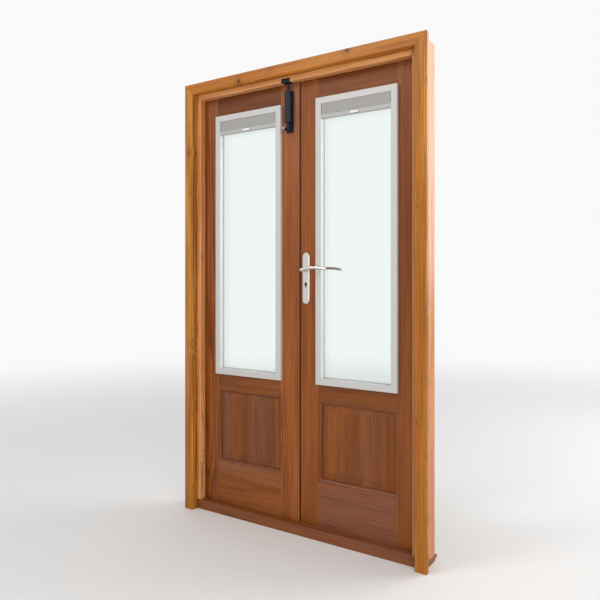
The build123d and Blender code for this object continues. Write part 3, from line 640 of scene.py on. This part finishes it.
def plate_ends(x, y, low, high):
    """The places of two screws, near the lower and the upper end of a plate."""
    return [Vector((x, y, z)) for z in (low.z + PLATE_SCREW_INSET, high.z - PLATE_SCREW_INSET)]


def bar(shape, section, start, end):
    """A straight length of an (x, y) section between two heights."""
    low = [shape.verts.new((x, y, start)) for x, y in section]
    high = [shape.verts.new((x, y, end)) for x, y in section]
    join_rows(shape, low, high)
    shape.faces.new(low)
    shape.faces.new(high)


def mitred_ring(shape, low, high, section):
    """A ring round a rectangle. Each section point is (distance inward, y)."""
    rows = []
    for inward, y in section:
        rows.append([shape.verts.new(p) for p in (
            (low.x + inward, y, low.z + inward), (high.x - inward, y, low.z + inward),
            (high.x - inward, y, high.z - inward), (low.x + inward, y, high.z - inward))])
    for here, after in zip(rows, rows[1:] + rows[:1]):
        join_rows(shape, here, after)


def lever_shape(shape, low, high, z_neck, way):
    """A round neck and a bowed grip with domed ends. way is the side that its plate is on."""
    y_plate, y_far = (high.y, low.y) if way == 1 else (low.y, high.y)
    heel, bow, half_grip = 0.008, 0.008, 0.0055
    length = high.x - low.x - heel
    x_neck = low.x + heel
    y_grip = y_far + way * half_grip
    reach = abs(y_plate - y_grip)
    # The neck, from its collar on the plate to the grip
    lathe(shape, facing(Vector((x_neck, y_plate, z_neck)), (0, -way, 0)), [
        (0, 0), (0.0086, 0), (0.0088, 0.0006), (0.0088, 0.0032), (0.0082, 0.0040), (0.0068, 0.0052),
        (0.0063, 0.0090), (0.0060, 0.0180), (0.0061, reach - 0.0080), (0.0066, reach - 0.0030),
        (0.0066, reach), (0, reach)])
    # The grip's half height and half thickness at its heel, and what each loses by its tip
    half_tall, tall_taper = 0.0073, 0.0016
    half_thick, thick_taper = 0.0054, 0.0009
    heel_dome, tip_dome, least_dome = 0.0065, 0.0050, 0.02
    rows, sides, steps = [], 24, 40
    for step in range(steps + 1):
        share = (1 - math.cos(math.pi * step / steps)) / 2
        along = (length + heel) * share - heel
        end = min((along + heel) / heel_dome, (length - along) / tip_dome, 1.0)
        dome = math.sqrt(max(least_dome, 1 - (1 - end) ** 2))
        tall = (half_tall - tall_taper * share) * dome
        thick = (half_thick - thick_taper * share) * dome
        slope = bow * math.pi / length * math.cos(math.pi * along / length)
        middle = Vector((x_neck + along, y_grip, z_neck + bow * math.sin(math.pi * along / length)))
        up = Vector((-slope, 0, 1)).normalized()
        turns = [2 * math.pi * side / sides for side in range(sides)]
        rows.append([shape.verts.new(
            middle + up * tall * math.sin(turn) + Vector((0, thick * math.cos(turn), 0)))
            for turn in turns])
    for here, after in zip(rows, rows[1:]):
        join_rows(shape, here, after)
    shape.faces.new(rows[0])
    shape.faces.new(rows[-1])


def key_plug(shape, x, y, z, way):
    """The lock's plug and the raised line of its key slot. way is 1 inside and -1 outside."""
    sunk, slot_stand = 0.0001, 0.0006
    plug = facing(Vector((x, y + sunk * way, z)), (0, -way, 0))
    lathe(shape, plug, [(0, 0), (0.0056, 0), (0.0056, 0.0005), (0.0052, 0.0007), (0, 0.0007)])
    slot = facing(Vector((x, y - slot_stand * way, z)), (0, -way, 0))
    half_width, half_length, rise = 0.0005, 0.0038, 0.0003
    corners = [(-half_width, -half_length), (half_width, -half_length),
               (half_width, half_length), (-half_width, half_length)]
    low = [shape.verts.new(slot @ Vector((a, b, 0))) for a, b in corners]
    high = [shape.verts.new(slot @ Vector((a, b, rise))) for a, b in corners]
    join_rows(shape, low, high)
    shape.faces.new(high)


def rectangle_of(node):
    """The mitre group's inputs for the outside of a rectangular node."""
    low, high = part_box(node)
    return {
        "Centre X": (low.x + high.x) / 2, "Centre Z": (low.z + high.z) / 2,
        "Half Width": (high.x - low.x) / 2, "Half Height": (high.z - low.z) / 2}


# Operators

class DOORS_OT_timber(bpy.types.Operator):
    """Finishes every board of the frame, the trim and the leaves"""
    bl_idname = "doors.timber"
    bl_label = "Timber"

    def execute(self, context):
        colours, sizes = context.scene.door_colours, context.scene.door_sizes
        # Each kind of timber: its four colours, growth lines, knots and gloss
        kinds = {
            "pine": (colours.pine_pale, colours.pine_middle, colours.pine_deep,
                     colours.pine_patch, 46.0, 1.0, 0.34),
            # The frame's colours carry painted light on the recessed frame
            "frame": (colours.frame_pale, colours.frame_middle, colours.frame_deep,
                      colours.frame_patch, 70.0, 0.25, 0.36),
            # The leaf's patch colour is a painted reflection
            "leaf": (colours.leaf_pale, colours.leaf_middle, colours.leaf_deep,
                     colours.leaf_reflection_patch, 95.0, 0.0, 0.38),
        }
        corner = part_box("architrave_head")[1]
        trim = {"Centre X": 0.0, "Centre Z": 0.0, "Half Width": corner.x, "Half Height": corner.z}
        for node, kind, along, cut, tone in BOARDS:
            mitre = trim if node.startswith("architrave") else None
            dress(node, wood_material(node + "_timber", kinds[kind], along, cut, tone,
                                      sizes.arris, mitre))
        for number, side in enumerate(SIDES):
            for piece, along, cut, tones in LEAF_BOARDS:
                node = f"{side}_{piece}"
                cut_here = (cut[0] + LOG_OFFSET * number, cut[1], cut[2])
                mitre = rectangle_of(node) if piece.endswith("beads") else None
                dress(node, wood_material(node + "_timber", kinds["leaf"], along, cut_here,
                                          tones[number], sizes.arris, mitre))
        return {"FINISHED"}


class DOORS_OT_glass(bpy.types.Operator):
    """Finishes the sealed glass units and adds the pale gasket round each"""
    bl_idname = "doors.glass"
    bl_label = "Glass"

    def execute(self, context):
        colours, sizes = context.scene.door_colours, context.scene.door_sizes
        clear = glass_material("clear_glass", colours.glass_tint)
        spacer = coat_material("spacer_metal", (0.66, 0.67, 0.67), 0.42, metallic=0.6,
                               stretch=(1, 1, 0.05), scale=500.0)
        rubber = coat_material("gasket_rubber", (0.36, 0.37, 0.37), 0.62, relief=0.1)
        for side in SIDES:
            dress(f"{side}_glass", clear)
            dress(f"{side}_glass_spacer", spacer)
            low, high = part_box(f"{side}_blind_frame")
            inner_low = Vector((low.x + BLIND_FRAME_WIDTH, 0, low.z + BLIND_FRAME_WIDTH))
            inner_high = Vector((high.x - BLIND_FRAME_WIDTH, 0, high.z - BLIND_FRAME_WIDTH))
            pane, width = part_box(f"{side}_glass")[0].y, sizes.gasket_width
            # Section points: how far in from the blind frame, and their Y before the pane
            section = [
                (-0.0004, pane - 0.0001), (-0.0004, pane - 0.0042), (width * 0.5, pane - 0.0036),
                (width, pane - 0.0008), (width, pane - 0.0001)]
            add_piece(f"{side}_glass_gasket", rubber, f"{side}_leaf", "white_coated_metal",
                      mitred_ring, inner_low, inner_high, section)
        return {"FINISHED"}


class DOORS_OT_blinds(bpy.types.Operator):
    """Finishes the blind frames, the gathered cloth and the bottom bars"""
    bl_idname = "doors.blinds"
    bl_label = "Blinds"

    def execute(self, context):
        colours = context.scene.door_colours
        cloth = cloth_material("blind_cloth", colours.blind_cloth)
        front, grip_depth, grip_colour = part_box("left_blind_bar")[0].y, 0.002, (0.80, 0.79, 0.77)
        metal = coat_material("blind_bar_metal", colours.blind_bar, 0.40, relief=0.05,
                              tip=(front + grip_depth, grip_colour))
        for side in SIDES:
            # The blind frames' greyed white is partly painted shade of the backlit frames
            frame_node = f"{side}_blind_frame"
            dress(frame_node, coat_material(
                frame_node + "_coat", colours.white_coat, 0.36, relief=0.08,
                mitre=rectangle_of(frame_node)))
            dress(f"{side}_blind_stack", cloth)
            dress(f"{side}_blind_bar", metal)
        return {"FINISHED"}


class DOORS_OT_handles(bpy.types.Operator):
    """Finishes the levers, their plates and the lock, and adds screws and the key slot"""
    bl_idname = "doors.handles"
    bl_label = "Handles"

    def execute(self, context):
        colours, sizes = context.scene.door_colours, context.scene.door_sizes
        satin = coat_material("satin_metal", colours.plate_metal, 0.30, metallic=0.9,
                              stretch=(1, 1, 0.06), scale=1100.0, variation=0.08, relief=0.05)
        drawn = coat_material("lock_metal", colours.hinge_metal, 0.34, metallic=1.0,
                              stretch=(1, 1, 0.05), scale=900.0, variation=0.14)
        # Near-black metal for the lock cylinder and its plugs, dark metal with painted shade
        # standing in for the inside of the keyhole
        dark = coat_material("keyhole_metal_and_shade", (0.022, 0.020, 0.018), 0.45, metallic=0.5)
        z_turn = sum(corner.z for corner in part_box("lever_spindle")) / 2
        for face, way in FACES:
            dress(f"right_handle_plate_{face}", satin)
            dress(f"lever_{face}", satin)
            low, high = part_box(f"lever_{face}")
            grip = add_piece(f"bowed_lever_{face}", satin, "lever", "satin_metal",
                             lever_shape, low, high, z_turn, way)
            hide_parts(f"lever_{face}")
        for node in ("left_strike_plate", "right_lock_faceplate", "lever_spindle"):
            dress(node, drawn)
        dress("right_lock_cylinder", dark)
        barrel_low, barrel_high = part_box("right_lock_cylinder")
        plug_drop = 0.007   # from the top of the lock cylinder to the middle of its plug
        for face, way in FACES:
            low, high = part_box(f"right_handle_plate_{face}")
            x = (low.x + high.x) / 2
            y, y_key = (low.y, barrel_low.y) if way == 1 else (high.y, barrel_high.y)
            add_screws(f"handle_plate_screws_{face}", plate_ends(x, y, low, high), (0, -way, 0),
                       satin, "right_leaf", "satin_metal", sizes)
            add_piece(f"key_plug_{face}", dark, "right_leaf", "dark_metal",
                      key_plug, x, y_key, barrel_high.z - plug_drop, way)
        for node, body, way in (("left_strike_plate", "left_leaf", 1),
                                ("right_lock_faceplate", "right_leaf", -1)):
            low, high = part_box(node)
            x = high.x if way == 1 else low.x
            y = (low.y + high.y) / 2
            add_screws(node + "_screws", plate_ends(x, y, low, high), (way, 0, 0), drawn, body,
                       "hinge_steel", sizes, 0.8)
        return {"FINISHED"}


class DOORS_OT_bolt(bpy.types.Operator):
    """Finishes the surface bolt and its keep, and adds their screws"""
    bl_idname = "doors.bolt"
    bl_label = "Bolt"

    def execute(self, context):
        colours, sizes = context.scene.door_colours, context.scene.door_sizes
        # The bolt's corners are laid with a paler blue-black
        black = coat_material("bolt_black", colours.bolt_black, 0.48, relief=0.14,
                              edge_colour=(0.045, 0.045, 0.060), shine=0.25)
        for node in ("bolt_casing", "bolt_shaft", "bolt_keep"):
            dress(node, black)
        # The casing's plate is screwed on at its foot, the keep at its two ends
        plate_thickness, screw_lift, plate_inset, keep_inset = 0.003, 0.020, 0.0055, 0.006
        low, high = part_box("bolt_casing")
        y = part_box("left_meeting_stile")[0].y - plate_thickness
        points = [Vector((x, y, low.z + screw_lift))
                  for x in (low.x + plate_inset, high.x - plate_inset)]
        add_screws("bolt_plate_screws", points, (0, -1, 0), black, "left_leaf", "black_metal",
                   sizes, 0.9)
        bright = coat_material("bolt_steel", (0.27, 0.255, 0.245), 0.38, metallic=0.9, relief=0.05)
        low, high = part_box("bolt_shaft")
        knob_lift = 0.008
        place = facing(Vector(((low.x + high.x) / 2, low.y, low.z + knob_lift)), (0, -1, 0))
        add_piece("bolt_knob_face", bright, "bolt", "bolt_steel", lathe, place, [
            (0.0, -0.0020), (0.0062, -0.0020), (0.0064, 0.0), (0.0058, 0.0003),
            (0.0030, 0.0004), (0.0, 0.0004)])
        low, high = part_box("bolt_keep")
        points = [Vector((x, (low.y + high.y) / 2, low.z))
                  for x in (low.x + keep_inset, high.x - keep_inset)]
        add_screws("bolt_keep_screws", points, (0, 0, -1), black, "frame", "black_metal",
                   sizes, 0.9)
        return {"FINISHED"}


class DOORS_OT_hinges(bpy.types.Operator):
    """Finishes both halves of the hinges"""
    bl_idname = "doors.hinges"
    bl_label = "Hinges"

    def execute(self, context):
        sizes = context.scene.door_sizes
        steel = coat_material("hinge_steel", context.scene.door_colours.hinge_metal, 0.33,
                              metallic=1.0, stretch=(1, 1, 0.06), scale=900.0, variation=0.12)
        half_gap = 0.0005   # between the two closed leaves of a hinge
        for side, way in (("left", -1), ("right", 1)):
            dress(f"frame_hinges_{side}", steel)
            dress(f"{side}_leaf_hinges", steel)
            low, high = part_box(f"frame_hinges_{side}")
            x_turn = (low.x + high.x) / 2
            centres = (low.z + HALF_HINGE, (low.z + high.z) / 2, high.z - HALF_HINGE)
            places = [(low.y + inward, z + lift) for z in centres for inward, lift in HINGE_SCREWS]
            for name, body, face in ((f"{side}_frame_hinge_screws", "frame", way),
                                     (f"{side}_leaf_hinge_screws", f"{side}_leaf", -way)):
                points = [Vector((x_turn + half_gap * face, y, z)) for y, z in places]
                add_flush_screws(name, points, (-face, 0, 0), steel, body, sizes)
        return {"FINISHED"}


class DOORS_OT_seals(bpy.types.Operator):
    """Adds the dark weather seals on the two meeting edges"""
    bl_idname = "doors.seals"
    bl_label = "Seals"

    def execute(self, context):
        colours, sizes = context.scene.door_colours, context.scene.door_sizes
        rubber = coat_material("seal_rubber", colours.seal_brown, 0.66, relief=0.1)
        reach = sizes.seal_reach
        # A seal's root is sunk in its leaf's edge, and it narrows from its shoulder to its tip
        set_back, sunk, half_root = 0.0055, 0.0003, 0.0030
        half_shoulder, shoulder_share = 0.0026, 0.7
        below_leaf, above_leaf = 0.0085, 0.004  # towards the sill and the head
        for side, way in (("left", 1), ("right", -1)):
            low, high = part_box(f"{side}_meeting_stile")
            edge = high.x if way == 1 else low.x
            y = high.y - set_back
            root, shoulder = edge - sunk * way, edge + reach * shoulder_share * way
            section = [(root, y - half_root), (shoulder, y - half_shoulder),
                       (edge + reach * way, y),
                       (shoulder, y + half_shoulder), (root, y + half_root)]
            add_piece(f"{side}_meeting_seal", rubber, f"{side}_leaf", "black_metal",
                      bar, section, low.z - below_leaf, high.z + above_leaf)
        return {"FINISHED"}


class DOORS_OT_stage(bpy.types.Operator):
    """Sets up the floor, the lamps, the world and the camera"""
    bl_idname = "doors.stage"
    bl_label = "Stage"

    def execute(self, context):
        scene = context.scene
        scene.view_settings.view_transform = "Standard"
        floor_reach, floor_drop = 14.0, 0.0004
        floor_mesh = bpy.data.meshes.new("floor")
        floor_mesh.from_pydata(
            [(-floor_reach, -floor_reach, 0), (floor_reach, -floor_reach, 0),
             (floor_reach, floor_reach, 0), (-floor_reach, floor_reach, 0)], [], [(0, 1, 2, 3)])
        floor = bpy.data.objects.new("floor", floor_mesh)
        scene.collection.objects.link(floor)
        floor.location.z = -floor_drop
        pale = coat_material("pale_floor", (0.84, 0.83, 0.82), 0.8, scale=40.0, variation=0.03,
                             relief=0.0)
        # The floor turns into an even glow between these distances from the middle
        fade_start, fade_end = 1.3, 6.5
        tree = pale.node_tree
        away = add_node(tree, "ShaderNodeVectorMath",
                        {0: add_node(tree, "ShaderNodeTexCoord").outputs["Object"]},
                        operation="LENGTH").outputs["Value"]
        glow = add_node(tree, "ShaderNodeEmission", {"Color": (1, 1, 1, 1), "Strength": 0.95})
        faded = add_node(tree, "ShaderNodeMixShader",
                         {0: remap(tree, away, fade_start, fade_end),
                          1: tree.nodes["Principled BSDF"].outputs[0], 2: glow.outputs[0]})
        tree.links.new(faded.outputs[0], tree.nodes["Material Output"].inputs["Surface"])
        floor_mesh.materials.append(pale)

        # The world lights the doors, and shows brighter behind them, in glass and in metal
        light, more_seen = 0.55, 0.40
        world = bpy.data.worlds.new("studio")
        scene.world = world
        world.use_nodes = True
        tree = world.node_tree
        shade = tree.nodes["Background"]
        rays = add_node(tree, "ShaderNodeLightPath").outputs
        through = math_node(tree, "MAXIMUM", rays["Is Glossy Ray"], rays["Is Transmission Ray"])
        seen = math_node(tree, "MAXIMUM", rays["Is Camera Ray"], through)
        tree.links.new(math_node(tree, "ADD", scaled(tree, seen, more_seen), light),
                       shade.inputs["Strength"])
        shade.inputs["Color"].default_value = (1.0, 1.0, 1.0, 1.0)

        for name, place, aim, size, power in LAMPS:
            lamp = bpy.data.lights.new(name, "AREA")
            lamp.size = size
            lamp.energy = power
            holder = bpy.data.objects.new(name, lamp)
            scene.collection.objects.link(holder)
            holder.location = place
            holder.visible_camera = False
            holder.visible_transmission = False
            look = Vector(aim) - Vector(place)
            holder.rotation_euler = look.to_track_quat("-Z", "Y").to_euler()

        camera = bpy.data.cameras.new("viewpoint")
        camera.lens = scene.door_sizes.lens
        camera.sensor_width = SENSOR_WIDTH
        camera.shift_y = FILM_SHIFT
        holder = bpy.data.objects.new("viewpoint", camera)
        scene.collection.objects.link(holder)
        look = Vector((-math.sin(HEADING), math.cos(HEADING), 0))
        holder.location = EYE
        holder.rotation_euler = look.to_track_quat("-Z", "Y").to_euler()
        scene.camera = holder
        return {"FINISHED"}


STEPS = (DOORS_OT_timber, DOORS_OT_glass, DOORS_OT_blinds, DOORS_OT_handles, DOORS_OT_bolt,
         DOORS_OT_hinges, DOORS_OT_seals, DOORS_OT_stage)


class DOORS_PT_doors(bpy.types.Panel):
    """Lists the steps and the sizes and colours that they use"""
    bl_idname = "DOORS_PT_doors"
    bl_label = "Glazed Double Doors"
    bl_space_type = "VIEW_3D"
    bl_region_type = "UI"
    bl_category = "Doors"

    def draw(self, context):
        column = self.layout.column(align=True)
        for step in STEPS:
            column.operator(step.bl_idname)
        for group in (context.scene.door_sizes, context.scene.door_colours):
            box = self.layout.box()
            for name in group.__annotations__:
                box.prop(group, name)


CLASSES = (DoorColours, DoorSizes, *STEPS, DOORS_PT_doors)


def register():
    for each in CLASSES:
        bpy.utils.register_class(each)
    bpy.types.Scene.door_colours = PointerProperty(type=DoorColours)
    bpy.types.Scene.door_sizes = PointerProperty(type=DoorSizes)


def unregister():
    del bpy.types.Scene.door_sizes
    del bpy.types.Scene.door_colours
    for each in reversed(CLASSES):
        bpy.utils.unregister_class(each)


def main():
    register()
    bpy.ops.doors.timber()
    bpy.ops.doors.glass()
    bpy.ops.doors.blinds()
    bpy.ops.doors.handles()
    bpy.ops.doors.bolt()
    bpy.ops.doors.hinges()
    bpy.ops.doors.seals()
    bpy.ops.doors.stage()


if __name__ == "__main__":
    main()
